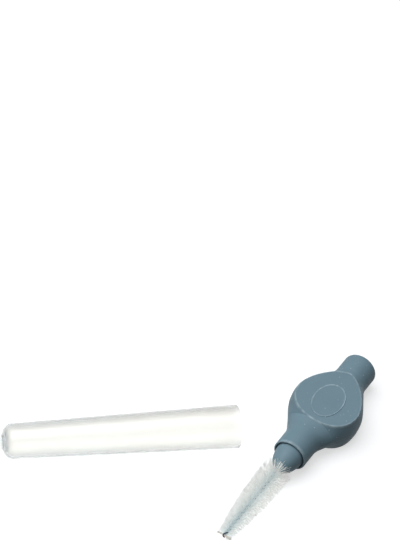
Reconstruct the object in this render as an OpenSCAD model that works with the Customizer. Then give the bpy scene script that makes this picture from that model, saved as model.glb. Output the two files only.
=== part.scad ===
// Interdental brush with its clear cover, in millimetres.
// The brush lies on its thumb disc along X, tip towards -X, with the floor at Z = 0.
// The origin is the centre of the disc's lower face.

/* [Grip] */
// Thickness of the thumb disc, from face to face
disc_thick = 7.3; // [7.3:0.1:9.5]
// Radius of the thumb disc at mid height
disc_r = 7.6; // [6:0.1:10]
// From the edge of the thumb face to the edge of the disc, at the widest place
face_margin = 0.7; // [0.3:0.1:2]
// Reach of the thumb face towards the brush
face_front = 6.2; // [5:0.1:7.5]
// Reach of the thumb face towards the tail
face_rear = 8.8; // [6:0.1:9.5]
// Angle of the disc's straight flanks to the brush's axis
flank_angle = 28; // [20:1:34]
// Radius of the hollow that joins a flank to a tube
neck_fillet = 4.2; // [2:0.1:6]
// Radius of the sleeve and of the tail tube
tube_r = 3.6; // [3.3:0.05:3.65]
// From the disc's centre to the front of the sleeve
sleeve_reach = 14.5; // [13:0.1:18]
// From the disc's centre to the end of the tail tube
tail_reach = 15.1; // [14:0.1:22]
// Run of the slope from the face down to the sleeve
front_slope = 4; // [3:0.1:5]
// Run of the slope from the face down to the tail tube
rear_slope = 1.8; // [1.2:0.1:3.5]
// Rounding of the tail's end
tail_round = 1.2; // [0.4:0.1:2]
// Rounding of the sleeve's front rim
rim_round = 0.22; // [0.1:0.02:0.26]
// Length of the raised oval on the thumb face
oval_len = 9.4; // [6:0.1:12]
// Width of the oval
oval_w = 6.4; // [4:0.1:9]
// Height of the oval over the face
oval_h = 0.12; // [0.05:0.01:0.3]
// Width of the bevel round the oval
oval_bevel = 0.1; // [0.05:0.01:0.3]
// How far the oval lies in front of the disc's centre
oval_ahead = 0.2; // [-1:0.1:1]

/* [Core] */
// Length of the nose in front of the sleeve
nose_len = 5; // [4:0.1:8]
// Radius of the nose where it leaves the sleeve
nose_r = 2.95; // [2.5:0.05:3]
// Width of the gap between the nose and the sleeve's rim
rim_gap = 0.28; // [0.1:0.02:0.28]
// Depth of that gap
rim_gap_deep = 0.6; // [0.3:0.05:1]
// Radius of the stem inside the grip
stem_r = 2.1; // [1.5:0.1:2.6]
// Length of the stem, from the sleeve's front to its end
stem_len = 23; // [14:0.5:27]
// Radius of the collar that locks the stem in the grip
lock_r = 2.9; // [2.4:0.1:3.2]
// Length of the locking collar
lock_len = 3; // [1.5:0.1:5]
// From the sleeve's front to the locking collar
lock_back = 9; // [6:0.5:12]
// Depth of the wire's seat, from the nose's tip
wire_seat = 7; // [4:0.5:12]
// Clearance round the wire in its seat
wire_clear = 0.02; // [0.01:0.01:0.1]

/* [Wire] */
// Thickness of one coated leg
leg_d = 0.3; // [0.2:0.01:0.4]
// Gap between the two legs, where the filaments are gripped
leg_gap = 0.1; // [0.06:0.01:0.2]
// Length of one full turn of the twist
twist_pitch = 2.1; // [1.4:0.1:4]
// Length of wire in front of the nose
wire_out = 20.5; // [16:0.1:25]
// Width of the eye in the folded tip
eye_w = 0.26; // [0.1:0.02:0.4]
// Length over which the eye closes to the gap between the legs
eye_len = 0.8; // [0.5:0.1:1.5]
// Turn of the eye round the wire: 0 lies level, 90 stands upright
eye_turn = 90; // [0:5:175]

/* [Bristles] */
// Distance from one filament to the next along the wire
filament_step = 0.11; // [0.09:0.01:0.12]
// Thickness of a filament at its root, along the wire
filament_d = 0.055; // [0.04:0.005:0.08]
// Thickness of a filament at its end
filament_end = 0.03; // [0.02:0.005:0.05]
// Radius of the brush at the nose
brush_r_base = 3.05; // [2:0.05:3.3]
// Radius of the brush at the wire's tip
brush_r_tip = 1.45; // [0.8:0.05:3]
// From the last filaments, in the eye, to the wire's tip
wire_bare = 0.45; // [0.4:0.05:1.5]
// How far the first filaments lean back over the nose
lean_back = 1.1; // [0:0.05:1.4]
// Length of wire over which that lean fades
lean_run = 5; // [3:0.5:10]

/* [Cover] */
// Length of the cover
cover_len = 47.5; // [42:0.1:60]
// Clearance of the cover's mouth round the sleeve or the tail
cover_clear = 0.1; // [0.05:0.01:0.3]
// Wall at the mouth
cover_wall = 0.69; // [0.5:0.01:1]
// Length of the straight bore at the mouth
cover_land = 6; // [4:0.5:10]
// Outer radius at the closed end, before its rounding
cover_end_r = 3.52; // [3.4:0.02:4.3]
// Wall at the closed end
cover_end_wall = 1.2; // [0.4:0.05:1.5]
// Rounding of the closed end
cover_round = 2; // [0.8:0.1:2]
// Rounding of the mouth's edge
cover_lip = 0.15; // [0.05:0.01:0.25]
// Radius of the low boss on the closed end
boss_r = 1.5; // [0.5:0.1:1.5]
// Height of that boss
boss_h = 0.35; // [0.1:0.05:0.6]

/* [Placing] */
// Place of the cover's mouth along the brush
cover_x = -15.5; // [-25:0.1:-12]
// Place of the cover's mouth beside the brush
cover_y = 11.9; // [11.5:0.1:30]
// Turn of the cover, from the brush's tail to the closed end
cover_turn = 133; // [120:1:170]

/* [Hidden] */

// Shapes of the thumb face's two ends: 2 is an ellipse, more is squarer
front_power = 2.25;
rear_power = 1.55;
// Shape of the nose
nose_power = 1.6;
// Half width of the crown line along the top where the grip has no face
crown_half_w = 0.02;
// The moulded body stands out this much where it meets a tube
seat_step = 0.03;
// How far a tube runs on inside the moulded body
tube_bury = 1;
// Overrun of the cuts
over = 0.5;
// Thickness of the slice that joins the filaments, in shares of the gap between the legs
slice_thick_share = 0.6;
// Half width of that slice, in shares of the wire's radius
slice_wide_share = 0.8;
// Length over which the twist starts at the loop, in shares of a turn
unwind_share = 0.5;
// How much the filaments differ in length, and the angle that mixes them
ragged_share = 0.07;
ragged_turn = 77;

// Facets of the round pieces, and steps of the moulded ones
round_fn = 72;
side_steps = 8;
face_steps = 26;
slope_steps = 5;
nose_steps = 14;
oval_steps = 48;
edge_steps = 6;
leg_sides = 6;
strand_sides = 4;
rings_per_turn = 9;
loop_steps = 6;

disc_half = disc_thick / 2;
face_half_w = disc_r - face_margin;
axis_z = disc_half;
wire_r = leg_d + leg_gap / 2;
helix_r = (leg_d + leg_gap) / 2;
tip_x = -(sleeve_reach + nose_len + wire_out);
nose_x = -(sleeve_reach + nose_len);
root_x = nose_x + wire_seat;
rim_in_r = min(nose_r + rim_gap, tube_r - rim_round);
flank = min(flank_angle, acos((tube_r + neck_fillet) / (disc_r + neck_fillet)));
neck_x = (disc_r + neck_fillet - (tube_r + neck_fillet) * cos(flank)) / sin(flank);
flank_start = disc_r * sin(flank);
flank_end = neck_x - neck_fillet * sin(flank);
front_end = max(neck_x, face_front + front_slope);
rear_end = max(neck_x, face_rear + rear_slope);
cover_bore_r = tube_r + cover_clear;
cover_mouth_r = cover_bore_r + cover_wall;
cover_inner_round = max(cover_round - cover_end_wall, cover_lip);
cover_tilt = atan((cover_mouth_r - cover_end_r) / (cover_len - cover_round - cover_lip));
cover_mouth_z = cover_mouth_r * cos(cover_tilt) + cover_lip * sin(cover_tilt);

// Half width of the grip at mid height: the disc, its straight flank, the hollow and the tube
function plan_half(x) =
    abs(x) < flank_start ? sqrt(pow(disc_r, 2) - pow(x, 2))
    : abs(x) < flank_end ? disc_r / cos(flank) - abs(x) * tan(flank)
    : abs(x) < neck_x ? tube_r + neck_fillet - sqrt(pow(neck_fillet, 2) - pow(neck_x - abs(x), 2))
    : tube_r;

// Half width of the flat face, an egg that points at the tail
function face_half(x) =
    let(reach = x < 0 ? face_front : face_rear, power = x < 0 ? front_power : rear_power,
        left = 1 - pow(min(abs(x) / reach, 1), power))
    max(crown_half_w, face_half_w * pow(left, 1 / power));

// Height of the grip's crown over its axis
function crown(x) =
    let(start = x < 0 ? face_front : face_rear, run = x < 0 ? front_slope : rear_slope,
        down = min(max((abs(x) - start) / run, 0), 1))
    tube_r + (disc_half - tube_r) * pow(1 - down, 2);

// One upright slice of the grip: an ellipse's sides, cut off at the flat face
function grip_slice(x) =
    let(half = max(plan_half(x), tube_r + seat_step), top = max(crown(x), tube_r + seat_step),
        flat = face_half(x), full = top / sqrt(1 - pow(flat / half, 2)), last = asin(top / full),
        side = [for (i = [0:side_steps]) let(a = last * i / side_steps) [half * cos(a), full * sin(a)]])
    [for (i = [0:side_steps]) [x, side[i][0], side[i][1]],
     for (i = [side_steps:-1:0]) [x, -side[i][0], side[i][1]],
     for (i = [1:side_steps]) [x, -side[i][0], -side[i][1]],
     for (i = [side_steps:-1:1]) [x, side[i][0], -side[i][1]]];

// Faces of a skin over rings of points that all have the same count
function skin_faces(rings, count) =
    [[for (i = [0:count - 1]) i],
     for (r = [0:rings - 2], i = [0:count - 1])
         let(a = r * count + i, b = r * count + (i + 1) % count)
         each [[a, a + count, b], [b, a + count, b + count]],
     [for (i = [count - 1:-1:0]) (rings - 1) * count + i]];

// The moulded body: the disc with its two faces and the slopes down to the tubes
module grip_body() {
    stations = [
        for (i = [0:slope_steps - 1]) -front_end + (front_end - face_front) * i / slope_steps,
        for (i = [0:face_steps]) let(a = 180 * i / face_steps) -cos(a) * (a < 90 ? face_front : face_rear),
        for (i = [1:slope_steps]) face_rear + (rear_end - face_rear) * i / slope_steps
    ];
    rings = [for (x = stations) grip_slice(x)];
    points = [for (ring = rings) each ring];
    polyhedron(points, skin_faces(len(rings), len(rings[0])));
}

// A solid of revolution along X, from points of [x, radius]
module turned(outline) {
    rotate([0, 90, 0]) rotate_extrude($fn = round_fn) polygon([for (p = outline) [p[1], p[0]]]);
}

// Points of a rounded corner, from one angle to another
function corner(x, r, radius, from, to) =
    [for (i = [0:edge_steps]) let(a = from + (to - from) * i / edge_steps)
        [x + radius * cos(a), r + radius * sin(a)]];

// The sleeve at the front: a true cylinder with a rounded rim
module sleeve() {
    turned(concat(
        [[-front_end + tube_bury, 0], [-sleeve_reach, 0]],
        corner(-sleeve_reach + rim_round, tube_r - rim_round, rim_round, 180, 90),
        [[-front_end + tube_bury, tube_r]]));
}

// The tail: a true cylinder with a rounded end
module tail() {
    turned(concat(
        [[tail_reach, 0], [rear_end - tube_bury, 0], [rear_end - tube_bury, tube_r]],
        corner(tail_reach - tail_round, tube_r - tail_round, tail_round, 90, 0)));
}

function oval(half_len, half_w) =
    [for (i = [0:oval_steps - 1]) let(a = 360 * i / oval_steps) [half_len * cos(a), half_w * sin(a)]];

// The raised oval on the thumb face, with a bevel all round
module face_oval() {
    heights = [[0, -over], [0, 0], [oval_bevel, oval_h]];
    rings = [for (h = heights) [for (p = oval(oval_len / 2 - h[0], oval_w / 2 - h[0]))
        [p[0] - oval_ahead, p[1], disc_half + h[1]]]];
    polyhedron([for (ring = rings) each ring], skin_faces(len(rings), oval_steps));
}

// Outline of the stem and its locking collar, from the nose's shoulder to the end
function stem_outline() =
    let(front = -sleeve_reach + rim_gap_deep, lock = -sleeve_reach + lock_back,
        end = -sleeve_reach + stem_len)
    [[front, stem_r], [lock, stem_r], [lock, lock_r], [lock + lock_len, lock_r], [lock + lock_len, stem_r],
     [end, stem_r], [end, 0]];

module grip() {
    color("#6f8593") translate([0, 0, axis_z]) difference() {
        union() {
            grip_body();
            sleeve();
            tail();
            face_oval();
        }
        turned(concat([[-sleeve_reach, 0], [-sleeve_reach, stem_r]], stem_outline()));
        turned([[-sleeve_reach - over, 0], [-sleeve_reach - over, rim_in_r],
                [-sleeve_reach + rim_gap_deep, rim_in_r], [-sleeve_reach + rim_gap_deep, 0]]);
    }
}

// The hard insert: the nose that shows, and the stem that the grip is moulded round
module core() {
    seat_r = wire_r + wire_clear;
    last = acos(seat_r / nose_r);
    nose = [for (i = [nose_steps:-1:0]) let(a = last * i / nose_steps)
        [-sleeve_reach - nose_len * pow(sin(a), 2 / nose_power), nose_r * cos(a)]];
    color("#6a8090") translate([0, 0, axis_z]) turned(concat(
        [[root_x, 0], [root_x, seat_r]], nose, [[-sleeve_reach + rim_gap_deep, nose_r]], stem_outline()));
}

// Twist of the legs at a distance from the loop: it starts gently and then keeps its pitch
unwind = twist_pitch * unwind_share;
eye_r = (leg_d + eye_w) / 2;
loop_x = tip_x + leg_d / 2 + eye_r;
function twist(run) =
    360 / twist_pitch * (run < unwind ? pow(run, 2) / (2 * unwind) : run - unwind / 2);
function twist_rate(run) = 2 * PI / twist_pitch * min(run / unwind, 1);

// Distance of a leg's middle from the axis: wide at the eye, then steady
function leg_off(run) =
    helix_r + (eye_r - helix_r) * (1 + cos(180 * min(run / eye_len, 1))) / 2;

// One ring of a leg, on one side (1) or the other (-1) of the axis
function leg_ring(run, side) =
    let(a = twist(run), off = leg_off(run), slant = off * twist_rate(run), long = sqrt(1 + pow(slant, 2)),
        out = [0, side * cos(a), side * sin(a)],
        across = [side * slant, sin(a), -cos(a)] / long)
    [for (k = [0:leg_sides - 1]) let(b = 360 * (k + 1 / 2) / leg_sides)
        [loop_x + run, 0, 0] + off * out + leg_d / 2 * (cos(b) * out + sin(b) * across)];

// One ring of the loop at the tip
function loop_ring(a) =
    let(out = [-sin(a), cos(a), 0])
    [for (k = [0:leg_sides - 1]) let(b = 360 * (k + 1 / 2) / leg_sides)
        [loop_x, 0, 0] + eye_r * out + leg_d / 2 * (cos(b) * out + sin(b) * [0, 0, -1])];

function middle(ring) = [for (k = [0:2]) (ring[0][k] + ring[leg_sides / 2][k]) / 2];

leg_run = root_x - leg_d - loop_x;
leg_rings = ceil(leg_run / twist_pitch * rings_per_turn);
leg_a = [for (i = [leg_rings:-1:0]) leg_ring(leg_run * i / leg_rings, 1)];
leg_b = [for (i = [0:leg_rings]) leg_ring(leg_run * i / leg_rings, -1)];

// The wire: one unbroken tube, down one leg, round the loop and back along the other
module twisted_wire() {
    loop = [for (i = [1:loop_steps - 1]) loop_ring(180 * i / loop_steps)];
    rings = concat(leg_a, loop, leg_b);
    color("#3d5c78") translate([0, 0, axis_z]) rotate([eye_turn, 0, 0])
        polyhedron([for (ring = rings) each ring], skin_faces(len(rings), leg_sides));
}

mid_a = [for (ring = leg_a) middle(ring)];
mid_b = [for (i = [leg_rings:-1:0]) middle(leg_b[i])];
echo(least_gap_between_the_legs_mm = min([
    for (i = [0:leg_rings], j = [max(0, i - rings_per_turn):min(leg_rings, i + rings_per_turn)])
        norm(mid_a[i] - mid_b[j]) - leg_d]));

brush_run = wire_out - wire_bare;
filaments = floor((brush_run - filament_step) / filament_step);
echo(strands = 2 * filaments);

// Reach of a filament at a distance from the nose, and how far its end leans back
function filament_reach(run, i) =
    (brush_r_tip + (brush_r_base - brush_r_tip) * (1 - pow(run / brush_run, 2)))
    * (1 - ragged_share * abs(sin(i * ragged_turn)));
function filament_lean(run) = lean_back * pow(max(1 - run / lean_run, 0), 2);

// The slice at one place: four corners between the legs
slice_half_w = wire_r * slice_wide_share;
slice_t = leg_gap * slice_thick_share;
function slice_corners(x) =
    let(a = twist(x - loop_x), thick = [0, cos(a), sin(a)] * slice_t / 2,
        wide = [0, -sin(a), cos(a)] * slice_half_w)
    [for (c = [[1, 1], [-1, 1], [-1, -1], [1, -1]]) [x, 0, 0] + c[0] * wide + c[1] * thick];

// The end of one strand: its root's corners, drawn out along the filament and thinned
function strand_end(i, side) =
    let(run = filament_step * (i + 1), x = nose_x - run, a = twist(x - loop_x),
        along = [0, -sin(a), cos(a)] * side, across = [0, cos(a), sin(a)] * side,
        end = [x + filament_lean(run), 0, 0] + along * filament_reach(run, i))
    [for (c = [[1, 1], [1, -1], [-1, -1], [-1, 1]])
        end + filament_end / 2 * (c[0] * [1, 0, 0] + c[1] * across)];

// The filaments: every one crosses the slice that the two legs grip, and all are one skin
module bristles() {
    rings = [for (i = [0:filaments - 1], s = [1, -1])
        slice_corners(nose_x - filament_step * (i + 1) + s * filament_d / 2)];
    ends = [for (i = [0:filaments - 1]) each concat(strand_end(i, 1), strand_end(i, -1))];
    points = concat([for (ring = rings) each ring], ends);
    per_filament = 2 * strand_sides;
    first_end = per_filament * filaments;
    faces = concat(
        [[0, 1, 2], [0, 2, 3]],
        [for (r = [0:len(rings) - 2], k = [0:strand_sides - 1])
            let(a = strand_sides * r + k, b = strand_sides * r + (k + 1) % strand_sides)
            if (r % 2 == 1 || k % 2 == 0)
                each [[a, a + strand_sides, b], [b, a + strand_sides, b + strand_sides]]],
        [for (i = [0:filaments - 1], s = [0, 1])
            let(a = per_filament * i, e = first_end + a + strand_sides * s,
                root = s == 0 ? [a, a + 3, a + 7, a + 4] : [a + 2, a + 1, a + 5, a + 6])
            each concat(
                [for (k = [0:strand_sides - 1]) let(next = (k + 1) % strand_sides)
                    each [[root[k], root[next], e + k], [root[next], e + next, e + k]]],
                [[e, e + 1, e + 2], [e, e + 2, e + 3]])],
        let(z = first_end - strand_sides) [[z, z + 2, z + 1], [z, z + 3, z + 2]]);
    color("#e9eef0") translate([0, 0, axis_z]) rotate([eye_turn, 0, 0]) polyhedron(points, faces);
}

// The clear cover, lying on its side with its mouth towards the brush
module cap() {
    inner_end = cover_len - cover_end_wall;
    inner_r = cover_end_r - cover_end_wall;
    color([0.9, 0.92, 0.92, 0.5]) translate([cover_x, cover_y, cover_mouth_z])
        rotate([0, cover_tilt, cover_turn]) turned(concat(
        [[0, cover_bore_r], [cover_land, cover_bore_r]],
        corner(inner_end - cover_inner_round, inner_r - cover_inner_round, cover_inner_round, 90, 0),
        [[inner_end, 0], [cover_len + boss_h, 0], [cover_len + boss_h, boss_r], [cover_len, boss_r]],
        corner(cover_len - cover_round, cover_end_r - cover_round, cover_round, 0, 90),
        corner(cover_lip, cover_mouth_r - cover_lip, cover_lip, 90, 180)));
}

grip();
core();
twisted_wire();
bristles();
cap();
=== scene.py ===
import bpy
import math
import numpy as np
from mathutils import Matrix, Quaternion, Vector


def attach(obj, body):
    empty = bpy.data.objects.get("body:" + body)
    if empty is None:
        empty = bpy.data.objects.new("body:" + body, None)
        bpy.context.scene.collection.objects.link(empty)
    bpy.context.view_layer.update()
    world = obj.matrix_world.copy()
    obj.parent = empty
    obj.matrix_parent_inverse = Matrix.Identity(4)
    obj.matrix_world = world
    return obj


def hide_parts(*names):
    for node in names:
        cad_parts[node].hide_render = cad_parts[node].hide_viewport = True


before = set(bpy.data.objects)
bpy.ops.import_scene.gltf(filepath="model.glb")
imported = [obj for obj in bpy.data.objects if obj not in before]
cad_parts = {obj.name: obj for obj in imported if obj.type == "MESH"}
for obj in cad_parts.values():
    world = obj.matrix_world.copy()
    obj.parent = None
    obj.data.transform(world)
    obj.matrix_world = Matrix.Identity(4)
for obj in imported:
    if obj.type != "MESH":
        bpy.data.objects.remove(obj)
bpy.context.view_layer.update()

# Lengths in the dictionaries are in millimetres and angles in degrees. The brush lies along X, its tip towards -X.
mm = 0.001
axisZ = 3.65  # height of the brush's axis: the thumb disc's lower face lies on the floor
noseTip, wireTip = -19.5, -40  # places along X


# Small helpers

def toLinear(hexColour):  # sRGB hex to the linear colour that the shaders take
    parts = [int(hexColour[i:i + 2], 16) / 255 for i in (1, 3, 5)]
    return tuple(c / 12.92 if c <= 0.04045 else ((c + 0.055) / 1.055) ** 2.4 for c in parts) + (1.0,)


def perMm(sizeMm):  # texture scale, in repeats per metre, for a feature of this size
    return 1 / (sizeMm * mm)


def addNode(tree, kind, settings=None, inputs=None):
    node = tree.nodes.new(kind)
    for name, value in (settings or {}).items():
        setattr(node, name, value)
    for socket, value in (inputs or {}).items():
        if isinstance(value, bpy.types.NodeSocket):
            tree.links.new(value, node.inputs[socket])
        else:
            node.inputs[socket].default_value = value
    return node


def newMaterial(name):
    material = bpy.data.materials.new(name)
    material.use_nodes = True
    material.node_tree.nodes.clear()
    return material, material.node_tree


def addMesh(name, points, faces, material, body, replaced=()):  # points in mm
    mesh = bpy.data.meshes.new(name)
    mesh.from_pydata((np.asarray(points, float) * mm).tolist(), [], [list(map(int, f)) for f in faces])
    mesh.validate()
    mesh.polygons.foreach_set("use_smooth", [True] * len(mesh.polygons))
    mesh.materials.append(material)
    piece = bpy.data.objects.new(name, mesh)
    bpy.context.scene.collection.objects.link(piece)
    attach(piece, body)
    if replaced:
        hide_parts(*replaced)
    return piece


def markPaintedHighlight(piece, weights):  # how much painted highlight each point of an edge gets, for the material
    mark = piece.data.attributes.new("highlightPainted", "FLOAT", "POINT")
    mark.data.foreach_set("value", np.asarray(weights, dtype=np.float32))


def skin(rings):  # a closed skin over rings of points that all have one count, with a pole in each end
    count = len(rings[0])
    faces = []
    for r in range(len(rings) - 1):
        a, b = r * count, (r + 1) * count
        for i in range(count):
            j = (i + 1) % count
            faces.append((a + i, a + j, b + j, b + i))
    points = [p for ring in rings for p in ring]
    for ring, base, flip in ((rings[0], 0, True), (rings[-1], (len(rings) - 1) * count, False)):
        points.append(np.mean(ring, axis=0))
        pole = len(points) - 1
        for i in range(count):
            j = (i + 1) % count
            faces.append((base + j, base + i, pole) if flip else (base + i, base + j, pole))
    return np.array(points), faces


def arc(cx, cr, radius, start, end, steps):  # points of [x, radius] round a corner
    angles = np.radians(np.linspace(start, end, steps + 1))
    return [(cx + radius * math.cos(a), cr + radius * math.sin(a)) for a in angles]


def turnedRings(outline, sides):  # rings round the X axis from [x, radius]
    angles = np.linspace(0, 2 * math.pi, sides, endpoint=False)
    return [np.stack([np.full(sides, x), r * np.cos(angles), r * np.sin(angles)], 1) for x, r in outline]


def smoothStep(t):
    t = np.clip(t, 0, 1)
    return t * t * (3 - 2 * t)


def smoothMin(a, b, k):  # the lower of two heights, with a rounding of about k where they cross
    if k <= 1e-6:  # no rounding
        return np.minimum(a, b)
    h = np.clip(0.5 + 0.5 * (b - a) / k, 0, 1)
    return b + (a - b) * h - k * h * (1 - h)


# The camera stands where the photograph's did

cameraSettings = {
    "place": (-375.26, -116.28, 468.59), "aim": (18.61, 41.34, 0), "roll": 13.7, "lens": 200, "sensor": 36,
    "clip": (10, 20000)}

camera = bpy.data.objects.new("photoCamera", bpy.data.cameras.new("photoCamera"))
bpy.context.scene.collection.objects.link(camera)
bpy.context.scene.camera = camera
camera.data.lens = cameraSettings["lens"]
camera.data.sensor_width = cameraSettings["sensor"]
camera.data.clip_start, camera.data.clip_end = (c * mm for c in cameraSettings["clip"])
camera.location = Vector(cameraSettings["place"]) * mm
lookAlong = (Vector(cameraSettings["aim"]) - Vector(cameraSettings["place"])).normalized()
rollTurn = Quaternion((0, 0, 1), math.radians(cameraSettings["roll"]))
camera.rotation_mode = "QUATERNION"
camera.rotation_quaternion = lookAlong.to_track_quat("-Z", "Y") @ rollTurn
print("camera: placed")


# Materials

elastomer = {
    "deep": "#67828F", "pale": "#708A97", "cloudSize": 5, "roughness": (0.52, 0.62), "specular": 0.35,
    # the next colour and its patches are a painted highlight, for the edges that catch the light
    "paintedHighlight": "#B4C8D0", "highlightBreakupSize": 1.2, "highlightBreakupEdge": (0.35, 0.62), "highlightRange": (0.12, 0.6),
    "dust": "#C4CED0", "dustSpacing": 0.6, "dustEdge": (0.2, 0.12), "dustKept": (0.86, 0.98), "dustShare": 0.65,
    "grainSize": 0.12, "grainDepth": 0.02, "grainStrength": 0.12}


def elastomerSatin():
    # Thermoplastic elastomer, moulded in a lightly eroded tool: soft satin, broad highlights, no sharp reflection
    material, tree = newMaterial("thermoplasticElastomerMoulded")
    place = addNode(tree, "ShaderNodeTexCoord").outputs["Object"]
    cloud = addNode(tree, "ShaderNodeTexNoise", inputs={
        "Vector": place, "Scale": perMm(elastomer["cloudSize"]), "Detail": 3})
    tint = addNode(tree, "ShaderNodeMix", {"data_type": "RGBA"}, {
        "Factor": cloud.outputs["Fac"], 6: toLinear(elastomer["deep"]), 7: toLinear(elastomer["pale"])})
    # a few pale specks of dust cling to it; real ones are under a tenth of a millimetre, these are twice that to show
    speck = addNode(tree, "ShaderNodeTexVoronoi", {"feature": "F1"}, {
        "Vector": place, "Scale": perMm(elastomer["dustSpacing"])})
    chosen = addNode(tree, "ShaderNodeSeparateColor", inputs={"Color": speck.outputs["Color"]})
    near = addNode(tree, "ShaderNodeMapRange", inputs={
        "Value": speck.outputs["Distance"], "From Min": elastomer["dustEdge"][0], "From Max": elastomer["dustEdge"][1]})
    kept = addNode(tree, "ShaderNodeMapRange", inputs={
        "Value": chosen.outputs[0], "From Min": elastomer["dustKept"][0], "From Max": elastomer["dustKept"][1],
        "To Max": elastomer["dustShare"]})
    dust = addNode(tree, "ShaderNodeMath", {"operation": "MULTIPLY"}, {0: near.outputs[0], 1: kept.outputs[0]})
    # painted highlight: the rounded edges, where they catch the light, are painted a little paler, in patches
    edge = addNode(tree, "ShaderNodeAttribute", {"attribute_name": "highlightPainted"})
    highlightPatches = addNode(tree, "ShaderNodeTexNoise", inputs={
        "Vector": place, "Scale": perMm(elastomer["highlightBreakupSize"]), "Detail": 3})
    broken = addNode(tree, "ShaderNodeMapRange", inputs={
        "Value": highlightPatches.outputs["Fac"], "From Min": elastomer["highlightBreakupEdge"][0], "From Max": elastomer["highlightBreakupEdge"][1],
        "To Min": elastomer["highlightRange"][0], "To Max": elastomer["highlightRange"][1]})
    paintedHighlight = addNode(tree, "ShaderNodeMath", {"operation": "MULTIPLY"}, {0: edge.outputs["Fac"], 1: broken.outputs[0]})
    highlightPainted = addNode(tree, "ShaderNodeMix", {"data_type": "RGBA"}, {
        "Factor": paintedHighlight.outputs[0], 6: tint.outputs[2], 7: toLinear(elastomer["paintedHighlight"])})
    dusted = addNode(tree, "ShaderNodeMix", {"data_type": "RGBA"}, {
        "Factor": dust.outputs[0], 6: highlightPainted.outputs[2], 7: toLinear(elastomer["dust"])})
    # the tool's eroded grain, a few hundredths of a millimetre in the real one, drawn coarse enough to show
    grain = addNode(tree, "ShaderNodeTexNoise", inputs={
        "Vector": place, "Scale": perMm(elastomer["grainSize"]), "Detail": 2})
    bump = addNode(tree, "ShaderNodeBump", inputs={
        "Strength": elastomer["grainStrength"], "Distance": elastomer["grainDepth"] * mm,
        "Height": grain.outputs["Fac"]})
    rough = addNode(tree, "ShaderNodeMapRange", inputs={
        "Value": cloud.outputs["Fac"], "To Min": elastomer["roughness"][0], "To Max": elastomer["roughness"][1]})
    shader = addNode(tree, "ShaderNodeBsdfPrincipled", inputs={
        "Base Color": dusted.outputs[2], "Roughness": rough.outputs[0], "IOR": 1.5,
        "Specular IOR Level": elastomer["specular"], "Normal": bump.outputs[0]})
    addNode(tree, "ShaderNodeOutputMaterial", inputs={"Surface": shader.outputs[0]})
    return material


insert = {"deep": "#6C8693", "pale": "#728C98", "cloudSize": 3, "roughness": 0.5, "specular": 0.22}


def nosePlastic():
    # Polypropylene nose, moulded in a smooth tool: the grip's colour, even and silky, with a faint broad highlight
    material, tree = newMaterial("polypropyleneMoulded")
    place = addNode(tree, "ShaderNodeTexCoord").outputs["Object"]
    cloud = addNode(tree, "ShaderNodeTexNoise", inputs={
        "Vector": place, "Scale": perMm(insert["cloudSize"]), "Detail": 2})
    tint = addNode(tree, "ShaderNodeMix", {"data_type": "RGBA"}, {
        "Factor": cloud.outputs["Fac"], 6: toLinear(insert["deep"]), 7: toLinear(insert["pale"])})
    shader = addNode(tree, "ShaderNodeBsdfPrincipled", inputs={
        "Base Color": tint.outputs[2], "Roughness": insert["roughness"], "IOR": 1.49,
        "Specular IOR Level": insert["specular"]})
    addNode(tree, "ShaderNodeOutputMaterial", inputs={"Surface": shader.outputs[0]})
    return material


coat = {
    # pale is the colour of the painted highlight
    "deep": "#3C6A86", "pale": "#AECDD8", "glintSize": 0.5, "glintEdge": (0.4, 0.54),
    "tip": "#22364A", "tipRun": (0.9, 1.8), "roughness": 0.15, "gloss": 0.6, "glossRoughness": 0.12}


def coatedWire():
    # Stainless wire in a thin extruded nylon coat: smooth and glossy, mid blue, with a pale blue painted highlight
    material, tree = newMaterial("nylonCoatedSteelWire")
    place = addNode(tree, "ShaderNodeTexCoord").outputs["Object"]
    # the pale patches are a painted highlight where the twisted legs catch the light, and the pale haze of the strands
    # in front, painted on
    cloud = addNode(tree, "ShaderNodeTexNoise", inputs={
        "Vector": place, "Scale": perMm(coat["glintSize"]), "Detail": 1})
    highlightPatches = addNode(tree, "ShaderNodeMapRange", inputs={
        "Value": cloud.outputs["Fac"], "From Min": coat["glintEdge"][0], "From Max": coat["glintEdge"][1]})
    withGlints = addNode(tree, "ShaderNodeMix", {"data_type": "RGBA"}, {
        "Factor": highlightPatches.outputs[0], 6: toLinear(coat["deep"]), 7: toLinear(coat["pale"])})
    # it is navy round the folded tip
    along = addNode(tree, "ShaderNodeSeparateXYZ", inputs={"Vector": place})
    fromTip = addNode(tree, "ShaderNodeMapRange", inputs={
        "Value": along.outputs["X"],
        "From Min": (wireTip + coat["tipRun"][0]) * mm, "From Max": (wireTip + coat["tipRun"][1]) * mm})
    tint = addNode(tree, "ShaderNodeMix", {"data_type": "RGBA"}, {
        "Factor": fromTip.outputs[0], 6: toLinear(coat["tip"]), 7: withGlints.outputs[2]})
    shader = addNode(tree, "ShaderNodeBsdfPrincipled", inputs={
        "Base Color": tint.outputs[2], "Roughness": coat["roughness"], "IOR": 1.53,
        "Coat Weight": coat["gloss"], "Coat Roughness": coat["glossRoughness"]})
    addNode(tree, "ShaderNodeOutputMaterial", inputs={"Surface": shader.outputs[0]})
    return material


nylon = {
    "deep": "#F2F2ED", "pale": "#FFFFFC", "cloudSize": 0.8, "nearWireRun": (0.2, 2.2), "roughness": 0.3,
    "shadowPass": 0.97}


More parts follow.
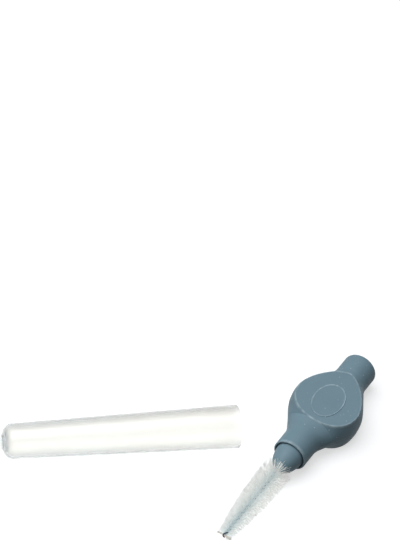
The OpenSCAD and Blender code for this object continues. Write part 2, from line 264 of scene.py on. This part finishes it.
def nylonFilament(name, clearness, nearWire):
    # Drawn nylon filament: smooth, clear to milky, bright where light passes along it; opaque where it was crushed
    material, tree = newMaterial(name)
    place = addNode(tree, "ShaderNodeTexCoord").outputs["Object"]
    cloud = addNode(tree, "ShaderNodeTexNoise", inputs={
        "Vector": place, "Scale": perMm(nylon["cloudSize"]), "Detail": 2})
    outer = addNode(tree, "ShaderNodeMix", {"data_type": "RGBA"}, {
        "Factor": cloud.outputs["Fac"], 6: toLinear(nylon["deep"]), 7: toLinear(nylon["pale"])})
    # near the wire the colour turns to nearWire: on the clear filaments a pale blue, a painted tint of the blue wire
    # seen through them
    offAxis = addNode(tree, "ShaderNodeVectorMath", {"operation": "MULTIPLY_ADD"}, {
        0: place, 1: (0, 1, 1), 2: (0, 0, -axisZ * mm)})
    distance = addNode(tree, "ShaderNodeVectorMath", {"operation": "LENGTH"}, {0: offAxis.outputs[0]})
    outward = addNode(tree, "ShaderNodeMapRange", inputs={
        "Value": distance.outputs["Value"],
        "From Min": nylon["nearWireRun"][0] * mm, "From Max": nylon["nearWireRun"][1] * mm})
    tint = addNode(tree, "ShaderNodeMix", {"data_type": "RGBA"}, {
        "Factor": outward.outputs[0], 6: toLinear(nearWire), 7: outer.outputs[2]})
    shader = addNode(tree, "ShaderNodeBsdfPrincipled", inputs={
        "Base Color": tint.outputs[2], "Roughness": nylon["roughness"], "IOR": 1.53, "Transmission Weight": clearness})
    clear = addNode(tree, "ShaderNodeBsdfTransparent", inputs={"Color": toLinear("#FFFFFF")})
    rays = addNode(tree, "ShaderNodeLightPath")
    passing = addNode(tree, "ShaderNodeMath", {"operation": "MULTIPLY"}, {
        0: rays.outputs["Is Shadow Ray"], 1: nylon["shadowPass"]})
    both = addNode(tree, "ShaderNodeMixShader", inputs={
        0: passing.outputs[0], 1: shader.outputs[0], 2: clear.outputs[0]})
    addNode(tree, "ShaderNodeOutputMaterial", inputs={"Surface": both.outputs[0]})
    return material


polypropylene = {
    "deep": "#FFFBF6", "pale": "#FFFFFC", "cloudSize": 9, "facing": (0.35, 0.8), "roughness": (0.34, 0.17),
    "haze": "#C5D1D8", "hazeDensity": 155.0, "shadowPass": 0.8}


def naturalPolypropylene():
    # Natural polypropylene, injection moulded thin: milky, lets light through, greyer where the wall is seen edge on
    material, tree = newMaterial("naturalPolypropyleneMoulded")
    place = addNode(tree, "ShaderNodeTexCoord").outputs["Object"]
    cloud = addNode(tree, "ShaderNodeTexNoise", inputs={
        "Vector": place, "Scale": perMm(polypropylene["cloudSize"]), "Detail": 2})
    tint = addNode(tree, "ShaderNodeMix", {"data_type": "RGBA"}, {
        "Factor": cloud.outputs["Fac"], 6: toLinear(polypropylene["deep"]), 7: toLinear(polypropylene["pale"])})
    # milky where it is looked through, clearer and crisper where it is seen edge on
    facing = addNode(tree, "ShaderNodeLayerWeight", inputs={"Blend": 0.5})
    rough = addNode(tree, "ShaderNodeMapRange", inputs={
        "Value": facing.outputs["Facing"],
        "From Min": polypropylene["facing"][0], "From Max": polypropylene["facing"][1],
        "To Min": polypropylene["roughness"][0], "To Max": polypropylene["roughness"][1]})
    wall = addNode(tree, "ShaderNodeBsdfPrincipled", inputs={
        "Base Color": tint.outputs[2], "Roughness": rough.outputs[0], "IOR": 1.49, "Transmission Weight": 1.0})
    clear = addNode(tree, "ShaderNodeBsdfTransparent", inputs={"Color": toLinear("#FFFFFF")})
    rays = addNode(tree, "ShaderNodeLightPath")
    passing = addNode(tree, "ShaderNodeMath", {"operation": "MULTIPLY"}, {
        0: rays.outputs["Is Shadow Ray"], 1: polypropylene["shadowPass"]})
    both = addNode(tree, "ShaderNodeMixShader", inputs={0: passing.outputs[0], 1: wall.outputs[0], 2: clear.outputs[0]})
    haze = addNode(tree, "ShaderNodeVolumeAbsorption", inputs={
        "Color": toLinear(polypropylene["haze"]), "Density": polypropylene["hazeDensity"]})
    addNode(tree, "ShaderNodeOutputMaterial", inputs={"Surface": both.outputs[0], "Volume": haze.outputs[0]})
    return material


gripMaterial = elastomerSatin()
noseMaterial = nosePlastic()
wireMaterial = coatedWire()
filamentMaterial = nylonFilament("nylonFilamentDrawn", clearness=0.76, nearWire="#F2FCFD")
crushedMaterial = nylonFilament("nylonFilamentStressWhitened", clearness=0.0, nearWire="#F6F8F8")
bundleMaterial = nylonFilament("nylonFilamentBundled", clearness=0.0, nearWire="#E2DBD2")
coverMaterial = naturalPolypropylene()
print("materials: made")


# Grip: one moulded skin with rounded face edges, the sleeve's rim and its gap, and the tail

grip = {
    "discThick": 7.3, "discR": 7.6, "faceMargin": 0.7, "faceFront": 6.2, "faceRear": 8.8,
    "frontPower": 2.25, "rearPower": 1.55, "neckFillet": 4.2, "flankAngle": 28, "tubeR": 3.6,
    "sleeveReach": 14.5, "tailReach": 15.1, "frontSlope": 4, "rearSlope": 1.8, "tailRound": 1.2,
    "rimRound": 0.22, "rimInnerRound": 0.05, "gapR": 3.23, "gapDeep": 0.6, "gapBevel": 0.1,
    "stemR": 2.1, "stemEnd": 8.5, "faceMost": 0.995, "edgeRound": 0.3, "edgeFade": (0.2, 1.2),
    "edgeRidge": 0.03, "ridgeInset": 0.12, "ridgeWidth": 0.16, "ridgeFade": 0.4,
    "neckDip": 0.12, "dipRun": 1.4, "dipFade": 0.5,
    "partingHeight": 0.035, "partingWidth": 0.07, "partingDepth": 0.01}
gripMesh = {
    "bodyStations": 190, "frontStations": 34, "rearStations": 24, "tubeStations": 8, "quarterPoints": 56,
    "evenRun": 1.5, "evenAngle": 45, "sideCrowd": 1.6, "faceCrowd": 1.8, "nearLine": (0, 0.25, 0.5, 0.8, 1.2),
    "lipSteps": 3, "beforeLip": 0.01, "rimSteps": 6, "tailSteps": 12, "tailRings": (1.4, 0.5)}

discHalf = grip["discThick"] / 2
faceHalfWidth = grip["discR"] - grip["faceMargin"]
flank = math.radians(grip["flankAngle"])
neckX = (grip["discR"] + grip["neckFillet"] - (grip["tubeR"] + grip["neckFillet"]) * math.cos(flank)) / math.sin(flank)
frontEnd = max(neckX, grip["faceFront"] + grip["frontSlope"])
rearEnd = max(neckX, grip["faceRear"] + grip["rearSlope"])


def planHalf(x):  # half width seen from above: the disc's round, its straight flank, the neck's hollow, the tube
    x = abs(x)
    if x < grip["discR"] * math.sin(flank):
        return math.sqrt(grip["discR"] ** 2 - x ** 2)
    if x < neckX - grip["neckFillet"] * math.sin(flank):
        return grip["discR"] / math.cos(flank) - x * math.tan(flank)
    if x < neckX:
        return grip["tubeR"] + grip["neckFillet"] - math.sqrt(grip["neckFillet"] ** 2 - (neckX - x) ** 2)
    return grip["tubeR"]


def faceHalf(x):  # half width of the flat thumb face, egg-shaped
    reach, power = (grip["faceFront"], grip["frontPower"]) if x < 0 else (grip["faceRear"], grip["rearPower"])
    left = 1 - min(abs(x) / reach, 1) ** power
    return faceHalfWidth * left ** (1 / power)


def parting(z):  # the mould's parting line at mid height, a low ridge
    return grip["partingHeight"] * np.exp(-(z / grip["partingWidth"]) ** 2)


def gripRing(x):
    if x < 0:
        start, run, end = grip["faceFront"], grip["frontSlope"], frontEnd
    else:
        start, run, end = grip["faceRear"], grip["rearSlope"], rearEnd
    past = max(abs(x) - start, 0)  # how far this ring is beyond the thumb face
    crown = grip["tubeR"] + (discHalf - grip["tubeR"]) * (1 - min(past / run, 1)) ** 2
    fade = smoothStep((past - grip["dipFade"]) / (end - start - grip["dipFade"]))
    crown -= grip["neckDip"] * smoothStep(past / grip["dipRun"]) * (1 - fade)
    half = planHalf(x)
    flat = min(faceHalf(x), half * grip["faceMost"])  # the face never quite reaches the side
    full = crown / math.sqrt(1 - (flat / half) ** 2)
    last = math.asin(min(crown / full, 1))  # angle of the face's edge
    meshLast = last + (math.radians(gripMesh["evenAngle"]) - last) * smoothStep(past / gripMesh["evenRun"])
    s = np.linspace(0, 1, gripMesh["quarterPoints"] + 1)
    # half of the points go to the side and half to the face, closer together on both sides of the face's edge
    side, top = s[s <= 0.5] * 2, (s[s > 0.5] - 0.5) * 2
    nearLine = np.array(gripMesh["nearLine"]) * grip["partingWidth"] * 2 / full
    toEdge = (meshLast - nearLine[-1]) * (1 - (1 - side[1:]) ** gripMesh["sideCrowd"])
    toTop = (math.pi / 2 - meshLast) * top ** gripMesh["faceCrowd"]
    a = np.concatenate([nearLine, nearLine[-1] + toEdge, meshLast + toTop])
    rounding = grip["edgeRound"] * (1 - smoothStep((past - grip["edgeFade"][0]) / grip["edgeFade"][1]))
    y = half * np.cos(a) + parting(full * np.sin(a))
    z = smoothMin(full * np.sin(a), discHalf + 0 * a, rounding)
    ridge = np.exp(-((y - flat + grip["ridgeInset"]) / grip["ridgeWidth"]) ** 2)
    z += grip["edgeRidge"] * (1 - smoothStep(past / grip["ridgeFade"])) * ridge
    quarter = np.stack([y, z], 1)
    up = np.concatenate([quarter, (quarter * (-1, 1))[-2::-1]])
    ring = np.concatenate([up, (up * (1, -1))[-2:0:-1]])
    return np.column_stack([np.full(len(ring), x), ring])


def circleRing(x, r, like):  # a ring of one radius with its points at the angles of another ring
    angles = np.arctan2(like[:, 2], like[:, 1])
    onTube = r > grip["tubeR"] - grip["partingDepth"]  # the parting line is only on the outside of the tubes
    ridge = parting(r * np.sin(angles)) * onTube
    return np.column_stack([np.full(len(like), x), (r + ridge) * np.cos(angles), (r + ridge) * np.sin(angles)])


def gripStations():  # places along X of the body's rings, closer together towards the ends of the face
    ease = np.linspace(0, math.pi / 2, gripMesh["bodyStations"] // 2)
    front = -grip["faceFront"] * np.cos(ease)
    rear = grip["faceRear"] * np.sin(ease)
    frontSlope = np.linspace(-frontEnd, -grip["faceFront"], gripMesh["frontStations"])[:-1]
    rearSlope = np.linspace(grip["faceRear"], rearEnd, gripMesh["rearStations"])[1:]
    return np.concatenate([frontSlope, front, rear[1:], rearSlope])


bodyRings = [gripRing(x) for x in gripStations()]
tip, rim, gapR, lip = -grip["sleeveReach"], grip["rimRound"], grip["gapR"], grip["rimInnerRound"]
gapEnd, bevel = tip + grip["gapDeep"], grip["gapBevel"]
frontProfile = [(grip["stemEnd"], grip["stemR"]), (gapEnd, grip["stemR"]), (gapEnd, gapR - bevel)]
frontProfile += [(gapEnd - bevel, gapR), (tip + lip + gripMesh["beforeLip"], gapR)]
frontProfile += arc(tip + lip, gapR + lip, lip, 270, 180, gripMesh["lipSteps"])[1:]
frontProfile += arc(tip + rim, grip["tubeR"] - rim, rim, 180, 90, gripMesh["rimSteps"])
frontProfile += [(x, grip["tubeR"]) for x in np.linspace(tip + rim, -frontEnd, gripMesh["tubeStations"])[1:-1]]
tailEnd, tailRound = grip["tailReach"], grip["tailRound"]
tailProfile = [(x, grip["tubeR"]) for x in np.linspace(rearEnd, tailEnd - tailRound, gripMesh["tubeStations"])[1:-1]]
tailProfile += arc(tailEnd - tailRound, grip["tubeR"] - tailRound, tailRound, 90, 0, gripMesh["tailSteps"])
tailProfile += [(tailEnd, r) for r in gripMesh["tailRings"]]
gripRings = [circleRing(x, r, bodyRings[0]) for x, r in frontProfile]
gripRings += bodyRings + [circleRing(x, r, bodyRings[-1]) for x, r in tailProfile]
gripPoints, gripFaces = skin(gripRings)

# painted highlight on the edges that catch the light: the faces' edges, the sleeve's rim and, less, the parting line
edgeHighlight = {
    "faceWidth": 0.17, "faceInset": 0.02, "faceDepth": 0.5, "rimDepth": 0.3, "rimStart": 0.08, "rimShare": 0.8,
    "partingWidth": 0.1, "partingShare": 0.55, "leastSlope": 0.02}
px, py, pz = gripPoints[:, 0], np.abs(gripPoints[:, 1]), np.abs(gripPoints[:, 2])
faceReach = np.where(px < 0, grip["faceFront"], grip["faceRear"])
power = np.where(px < 0, grip["frontPower"], grip["rearPower"])
ax = np.abs(px) / faceReach
outside = ax ** power + (py / faceHalfWidth) ** power - 1  # over zero outside the face's edge
slopeX = ax ** (power - 1) * power / faceReach
slopeY = (py / faceHalfWidth) ** (power - 1) * power / faceHalfWidth
offEdge = outside / np.maximum(np.hypot(slopeX, slopeY), edgeHighlight["leastSlope"]) + edgeHighlight["faceInset"]
faceEdge = np.exp(-(offEdge / edgeHighlight["faceWidth"]) ** 2) * (pz > discHalf - edgeHighlight["faceDepth"])
rimEdge = (px < tip + edgeHighlight["rimDepth"]) * (np.hypot(py, pz) > gapR + edgeHighlight["rimStart"]) * edgeHighlight["rimShare"]
partingEdge = edgeHighlight["partingShare"] * np.exp(-(pz / edgeHighlight["partingWidth"]) ** 2) * (np.hypot(py, pz) > gapR)
gripPoints[:, 2] += axisZ
gripSkin = addMesh("gripSkin", gripPoints, gripFaces, gripMaterial, "brush", ("grip",))
markPaintedHighlight(gripSkin, np.maximum(np.maximum(faceEdge, rimEdge), partingEdge))
print("grip:", len(gripPoints), "points")

# The raised oval on the thumb face, with a fine rim round it
pad = {
    "length": 9.4, "width": 6.4, "ahead": 0.2, "height": 0.12, "sunk": 0.15, "edge": 0.1, "rim": 0.05, "rimWidth": 0.26,
    "innerInset": 1.2, "points": 180, "edgeSteps": 6, "rimSteps": 7, "highlightFrom": 0.75, "highlightShare": 0.75}


def padRing(inset, height):
    a = np.linspace(0, 2 * math.pi, pad["points"], endpoint=False)
    return np.column_stack([
        -pad["ahead"] + (pad["length"] / 2 - inset) * np.cos(a), (pad["width"] / 2 - inset) * np.sin(a),
        np.full(len(a), axisZ + discHalf + height)])


padTop = pad["height"] - pad["rim"]
padSteps = [(0, -pad["sunk"])]
padSteps += [(pad["edge"] * (1 - math.cos(t)), pad["height"] * math.sin(t))
             for t in np.linspace(0, math.pi / 2, pad["edgeSteps"])]
padSteps += [(pad["edge"] + pad["rimWidth"] * t, pad["height"] - pad["rim"] * smoothStep(t))
             for t in np.linspace(0, 1, pad["rimSteps"])[1:]]
padSteps += [(pad["innerInset"], padTop)]
padPoints, padFaces = skin([padRing(inset, height) for inset, height in padSteps])
ovalPad = addMesh("ovalPad", padPoints, padFaces, gripMaterial, "brush")
# the top of the oval's rim gets the painted highlight as well
highlightAbove = axisZ + discHalf + pad["height"] - pad["rim"] * pad["highlightFrom"]
markPaintedHighlight(ovalPad, (padPoints[:, 2] > highlightAbove) * pad["highlightShare"])
print("oval pad: made")


# Nose: the hard insert, with its stem inside the grip

nose = {"length": 5, "radius": 2.95, "power": 1.6, "holeR": 0.36, "sides": 144, "steps": 40, "fit": 0.02, "short": 0.05}

lastAngle = math.acos(nose["holeR"] / nose["radius"])
stem, shoulder = grip["stemR"] - nose["fit"], gapEnd + nose["fit"]
noseProfile = [(grip["stemEnd"] - nose["short"], stem), (shoulder, stem), (shoulder, nose["radius"])]
noseProfile += [(tip - nose["length"] * math.sin(a) ** (2 / nose["power"]), nose["radius"] * math.cos(a))
                for a in np.linspace(0, lastAngle, nose["steps"])]
nosePoints, noseFaces = skin(turnedRings(noseProfile, nose["sides"]))
nosePoints[:, 2] += axisZ
noseFaces = [f[::-1] for f in noseFaces]  # this outline runs the other way, so the faces are turned outwards
addMesh("noseInsert", nosePoints, noseFaces, noseMaterial, "brush", ("core",))
print("nose:", len(nosePoints), "points")


# Wire: one tube, down one leg, round the folded tip and back, twisted

wire = {
    "legD": 0.3, "legGap": 0.1, "pitch": 2.1, "out": 20.5, "seat": 7, "eyeWidth": 0.26, "eyeLength": 0.8,
    "turn": 90, "eyeTurn": 48, "sides": 14, "ringsPerTurn": 36, "loopSteps": 20}

helixR = (wire["legD"] + wire["legGap"]) / 2
eyeR = (wire["legD"] + wire["eyeWidth"]) / 2
loopX = wireTip + wire["legD"] / 2 + eyeR
unwind = wire["pitch"] / 2  # length over which the twist grows from none at the eye
eyeLean = math.radians(wire["turn"] - wire["eyeTurn"])  # the eye leans over a little


def roundAxis(points):  # turns the wire and its filaments about the brush's axis, to where the solids have them
    a = math.radians(wire["turn"])
    x, y, z = np.asarray(points, float).T
    z = z - axisZ
    return np.column_stack([x, y * math.cos(a) - z * math.sin(a), y * math.sin(a) + z * math.cos(a) + axisZ])


def twist(run):  # angle of the legs at this distance from the eye
    return 2 * math.pi / wire["pitch"] * (run * run / (2 * unwind) if run < unwind else run - unwind / 2)


def tubeRing(centre, out, across):
    b = np.linspace(0, 2 * math.pi, wire["sides"], endpoint=False)[:, None]
    return centre + wire["legD"] / 2 * (np.cos(b) * out + np.sin(b) * across)


def legRing(run, side):
    a = twist(run) - eyeLean * (1 - smoothStep(run / unwind))
    off = helixR + (eyeR - helixR) * (1 + math.cos(math.pi * min(run / wire["eyeLength"], 1))) / 2
    slant = off * 2 * math.pi / wire["pitch"] * min(run / unwind, 1)
    out = np.array([0, side * math.cos(a), side * math.sin(a)])
    across = np.array([side * slant, math.sin(a), -math.cos(a)]) / math.sqrt(1 + slant ** 2)
    return tubeRing(np.array([loopX + run, 0, axisZ]) + off * out, out, across)


def loopRing(a):
    level = np.array([0, math.cos(-eyeLean), math.sin(-eyeLean)])
    across = np.array([0, math.sin(-eyeLean), -math.cos(-eyeLean)])
    out = -math.sin(a) * np.array([1.0, 0, 0]) + math.cos(a) * level
    return tubeRing(np.array([loopX, 0, axisZ]) + eyeR * out, out, across)


legRun = noseTip + wire["seat"] - wire["legD"] - loopX
runs = np.linspace(0, legRun, int(legRun / wire["pitch"] * wire["ringsPerTurn"]))
wireRings = [legRing(r, 1) for r in runs[::-1]]
wireRings += [loopRing(a) for a in np.linspace(0, math.pi, wire["loopSteps"])[1:-1]]
wireRings += [legRing(r, -1) for r in runs]
wirePoints, wireFaces = skin(wireRings)
addMesh("twistedWire", roundAxis(wirePoints), wireFaces, wireMaterial, "brush", ("twisted_wire",))
print("wire:", len(wirePoints), "points")


# Filaments: each crosses between the wire's legs, and both of its ends stand out

brush = {
    "filaments": 900, "rootR": 0.029, "endR": 0.024, "baseReach": 3.3, "tipReach": 1.55, "bareTip": 0.75,
    "fan": 135, "fanJitter": 4, "goldenShare": 0.618034, "leanBack": 0.75, "leanRun": 5, "leanJitter": 0.035,
    "ruffled": 0.27, "ruffledRun": 1.5, "ragged": 0.08, "raggedJitter": 0.7, "curl": 0.035, "aside": 0.01,
    "stout": 1.5, "stoutEvery": 3, "stoutReach": 1.04, "thin": 0.95, "thinReach": 0.97,
    "rootOut": 0.04, "firstRun": 0.05, "runJitter": 0.3, "segments": 4, "sides": 3, "seed": 7}
bundle = {"filaments": 26, "from": 0.3, "to": 0.64, "fanJitter": 6, "reach": 1.03, "leanJitter": 0.03, "thick": 1.3}
crushed = {
    "filaments": 34, "run": (0.08, 0.7), "fanJitter": 180, "reach": (1.3, 3), "lean": (0.5, 1.6), "leanJitter": 0.1,
    "thick": 2.1}

rng = np.random.default_rng(brush["seed"])
brushRun = wire["out"] - brush["bareTip"]


def strand(points, faces, root, along, across, reach, lean, bend, aside, thick):
    base, sides = len(points), brush["sides"]
    side = np.cross(along, [1, 0, 0])
    for k in range(brush["segments"] + 1):
        u = k / brush["segments"]
        outward = along * (brush["rootOut"] + (reach - brush["rootOut"]) * u)
        centre = root + outward + np.array([lean * u * u, 0, 0]) + side * bend * u * u + across * aside
        radius = thick * (brush["rootR"] + (brush["endR"] - brush["rootR"]) * u)
        for j in range(sides):
            b = 2 * math.pi * j / sides
            points.append(centre + radius * (math.cos(b) * np.array([1.0, 0, 0]) + math.sin(b) * side))
    for k in range(brush["segments"]):
        for j in range(sides):
            a, b = base + sides * k + j, base + sides * k + (j + 1) % sides
            faces.append((a, b, b + sides, a + sides))
    end = base + sides * brush["segments"]
    faces.append(tuple(range(base + sides - 1, base - 1, -1)))
    faces.append(tuple(range(end, end + sides)))


def filament(points, faces, x, turned, reach, lean, leanJitter, thick):  # both of its ends
    a = twist(x - loopX) + math.radians(turned)
    across = np.array([0, math.cos(a), math.sin(a)])
    for side in (1, -1):
        along = side * np.array([0, -math.sin(a), math.cos(a)])
        cutReach = reach * (1 - brush["ragged"] * abs(rng.normal(0, brush["raggedJitter"])))
        leanHere = lean + rng.normal(0, leanJitter)
        bend = rng.normal(0, brush["curl"])
        aside = rng.uniform(-brush["aside"], brush["aside"])
        strand(points, faces, np.array([x, 0, axisZ]), along, across, cutReach, leanHere, bend, aside, thick)


brushPoints, brushFaces = [], []
for i in range(brush["filaments"]):
    jitter = rng.uniform(-brush["runJitter"], brush["runJitter"])
    run = brushRun * (i + 0.5 + jitter) / brush["filaments"] + brush["firstRun"]
    narrowed = (min(run, brushRun) / brushRun) ** 2
    reachHere = brush["tipReach"] + (brush["baseReach"] - brush["tipReach"]) * (1 - narrowed)
    lean = brush["leanBack"] * max(1 - run / brush["leanRun"], 0) ** 2
    ruffled = brush["leanJitter"] + brush["ruffled"] * max(1 - run / brush["ruffledRun"], 0)  # most by the nose
    stout = i % brush["stoutEvery"] == 0
    thick, longer = (brush["stout"], brush["stoutReach"]) if stout else (brush["thin"], brush["thinReach"])
    # steps of the golden share fill the fan evenly, without clumps
    fanned = brush["fan"] * (i * brush["goldenShare"] % 1 - 0.5) + rng.normal(0, brush["fanJitter"])
    filament(brushPoints, brushFaces, noseTip - run, fanned, reachHere * longer, lean, ruffled, thick)
addMesh("filaments", roundAxis(brushPoints), brushFaces, filamentMaterial, "brush", ("bristles",))

eyePoints, eyeFaces = [], []
for x in wireTip + np.linspace(bundle["from"], bundle["to"], bundle["filaments"]):  # these pass through the eye
    turned = rng.normal(0, bundle["fanJitter"])
    reach = brush["tipReach"] * bundle["reach"]
    filament(eyePoints, eyeFaces, x, turned, reach, 0, bundle["leanJitter"], bundle["thick"])
addMesh("eyeFilaments", roundAxis(eyePoints), eyeFaces, bundleMaterial, "brush")

crushedPoints, crushedFaces = [], []
for i in range(crushed["filaments"]):  # the first ones are bent back by the nose and whitened there
    x, turned = noseTip - rng.uniform(*crushed["run"]), rng.normal(0, crushed["fanJitter"])
    reach, lean = rng.uniform(*crushed["reach"]), rng.uniform(*crushed["lean"])
    filament(crushedPoints, crushedFaces, x, turned, reach, lean, crushed["leanJitter"], crushed["thick"])
addMesh("crushedFilaments", roundAxis(crushedPoints), crushedFaces, crushedMaterial, "brush")
print("filaments:", len(brushPoints) + len(eyePoints) + len(crushedPoints), "points")


# Cover: thin tapered tube with a closed end, lying on the floor

cover = {
    "length": 47.5, "boreR": 3.7, "wall": 0.69, "land": 6, "endR": 3.52, "endWall": 0.9, "round": 2,
    "lip": 0.15, "mouthEdge": 0.1, "bossR": 1.5, "bossHeight": 0.35, "bossFoot": 0.04, "bossRound": 0.12,
    "bossDraft": 0.01, "x": -15.5, "y": 11.9, "turn": 133, "sides": 288}
coverSteps = {"innerEnd": 10, "taper": 12, "land": 5, "mouthEdge": 4, "lip": 5, "outside": 16, "end": 14, "boss": 4}

mouthR = cover["boreR"] + cover["wall"]
coverTilt = math.atan((mouthR - cover["endR"]) / (cover["length"] - cover["round"] - cover["lip"]))  # lies on its side
mouthZ = mouthR * math.cos(coverTilt) + cover["lip"] * math.sin(coverTilt)
innerEnd, innerR = cover["length"] - cover["endWall"], cover["endR"] - cover["endWall"]
innerRound = cover["round"] - cover["endWall"]
boreEnd, bodyEnd = innerEnd - innerRound, cover["length"] - cover["round"]
bossEnd = cover["length"] + cover["bossHeight"]

# the outline runs from inside the closed end to the mouth, and back along the outside
coverProfile = arc(boreEnd, innerR - innerRound, innerRound, 0, 90, coverSteps["innerEnd"])
coverProfile += [(x, cover["boreR"] + (innerR - cover["boreR"]) * (x - cover["land"]) / (boreEnd - cover["land"]))
                 for x in np.linspace(boreEnd, cover["land"], coverSteps["taper"])[1:]]
landRun = np.linspace(cover["land"], cover["mouthEdge"], coverSteps["land"])[1:]
coverProfile += [(x, cover["boreR"]) for x in landRun]
edge = cover["mouthEdge"]
coverProfile += arc(edge, cover["boreR"] + edge, edge, 270, 180, coverSteps["mouthEdge"])[1:]
coverProfile += arc(cover["lip"], mouthR - cover["lip"], cover["lip"], 180, 90, coverSteps["lip"])
coverProfile += [(x, mouthR + (cover["endR"] - mouthR) * (x - cover["lip"]) / (bodyEnd - cover["lip"]))
                 for x in np.linspace(cover["lip"], bodyEnd, coverSteps["outside"])[1:]]
coverProfile += arc(bodyEnd, cover["endR"] - cover["round"], cover["round"], 90, 0, coverSteps["end"])[1:]
coverProfile += [(cover["length"] + cover["bossFoot"], cover["bossR"] + cover["bossDraft"] / 2)]
coverProfile += [(bossEnd - cover["bossRound"], cover["bossR"] - cover["bossDraft"])]
bossTopR = cover["bossR"] - cover["bossRound"] - 2 * cover["bossDraft"]
coverProfile += arc(bossEnd - cover["bossRound"], bossTopR, cover["bossRound"], 90, 0, coverSteps["boss"])
coverPoints, coverFaces = skin(turnedRings(coverProfile, cover["sides"]))
turnCover = Matrix.Rotation(math.radians(cover["turn"]), 4, "Z") @ Matrix.Rotation(coverTilt, 4, "Y")
placeCover = Matrix.Translation((cover["x"], cover["y"], mouthZ)) @ turnCover
coverPoints = np.array([placeCover @ Vector(p) for p in coverPoints])
addMesh("coverTube", coverPoints, coverFaces, coverMaterial, "cover", ("cap",))
print("cover:", len(coverPoints), "points")


# Floor, world and light: both grounds are lifted to white where they are looked at, directly, in a gloss or through
# the clear pieces, and the floor keeps the shadow

studio = {
    "floorHalf": 1500, "floorDrop": 0.02, "floorSeen": "#B9BCBE", "floorBounce": "#484A4C", "lift": 0.62,
    "world": 0.06, "mirrored": 0.4, "keyPower": 3.1, "keySize": 520, "keyPlace": (-60, 170, 460)}


def floorMaterial():
    # Seamless background paper, uncoated: matt and white
    material, tree = newMaterial("paleSeamlessPaper")
    rays = addNode(tree, "ShaderNodeLightPath").outputs
    direct = addNode(tree, "ShaderNodeMath", {"operation": "MAXIMUM"}, {
        0: rays["Is Camera Ray"], 1: rays["Is Glossy Ray"]})
    seen = addNode(tree, "ShaderNodeMath", {"operation": "MAXIMUM"}, {
        0: direct.outputs[0], 1: rays["Is Transmission Ray"]})
    lift = addNode(tree, "ShaderNodeMath", {"operation": "MULTIPLY"}, {0: seen.outputs[0], 1: studio["lift"]})
    paper = addNode(tree, "ShaderNodeMix", {"data_type": "RGBA"}, {
        "Factor": seen.outputs[0], 6: toLinear(studio["floorBounce"]), 7: toLinear(studio["floorSeen"])})
    shader = addNode(tree, "ShaderNodeBsdfPrincipled", inputs={
        "Base Color": paper.outputs[2], "Roughness": 0.8, "Specular IOR Level": 0.0,
        "Emission Color": (1, 1, 1, 1), "Emission Strength": lift.outputs[0]})
    addNode(tree, "ShaderNodeOutputMaterial", inputs={"Surface": shader.outputs[0]})
    return material


far, drop = studio["floorHalf"] * mm, -studio["floorDrop"] * mm
floorMesh = bpy.data.meshes.new("floor")
floorMesh.from_pydata([(-far, -far, drop), (far, -far, drop), (far, far, drop), (-far, far, drop)], [], [(0, 1, 2, 3)])
floorMesh.materials.append(floorMaterial())
floor = bpy.data.objects.new("floor", floorMesh)
bpy.context.scene.collection.objects.link(floor)

world = bpy.data.worlds.new("studioWorld")
bpy.context.scene.world = world
world.use_nodes = True
worldTree = world.node_tree
worldTree.nodes.clear()
rays = addNode(worldTree, "ShaderNodeLightPath").outputs
through = addNode(worldTree, "ShaderNodeMath", {"operation": "MAXIMUM"}, {
    0: rays["Is Camera Ray"], 1: rays["Is Transmission Ray"]})
mirrored = addNode(worldTree, "ShaderNodeMath", {"operation": "MULTIPLY"}, {
    0: rays["Is Glossy Ray"], 1: studio["mirrored"]})
seenWorld = addNode(worldTree, "ShaderNodeMath", {"operation": "MAXIMUM"}, {
    0: through.outputs[0], 1: mirrored.outputs[0]})
strength = addNode(worldTree, "ShaderNodeMapRange", inputs={
    "Value": seenWorld.outputs[0], "To Min": studio["world"], "To Max": 1.0})
sky = addNode(worldTree, "ShaderNodeBackground", inputs={"Color": (1, 1, 1, 1), "Strength": strength.outputs[0]})
addNode(worldTree, "ShaderNodeOutputWorld", inputs={"Surface": sky.outputs[0]})

light = bpy.data.lights.new("keyLight", "AREA")
light.energy, light.size = studio["keyPower"], studio["keySize"] * mm
lamp = bpy.data.objects.new("keyLight", light)
lamp.location = Vector(studio["keyPlace"]) * mm
lamp.rotation_mode = "QUATERNION"
lamp.rotation_quaternion = (-Vector(studio["keyPlace"])).to_track_quat("-Z", "Y")
bpy.context.scene.collection.objects.link(lamp)
bpy.context.scene.view_settings.view_transform = "Standard"
print("studio: lit")
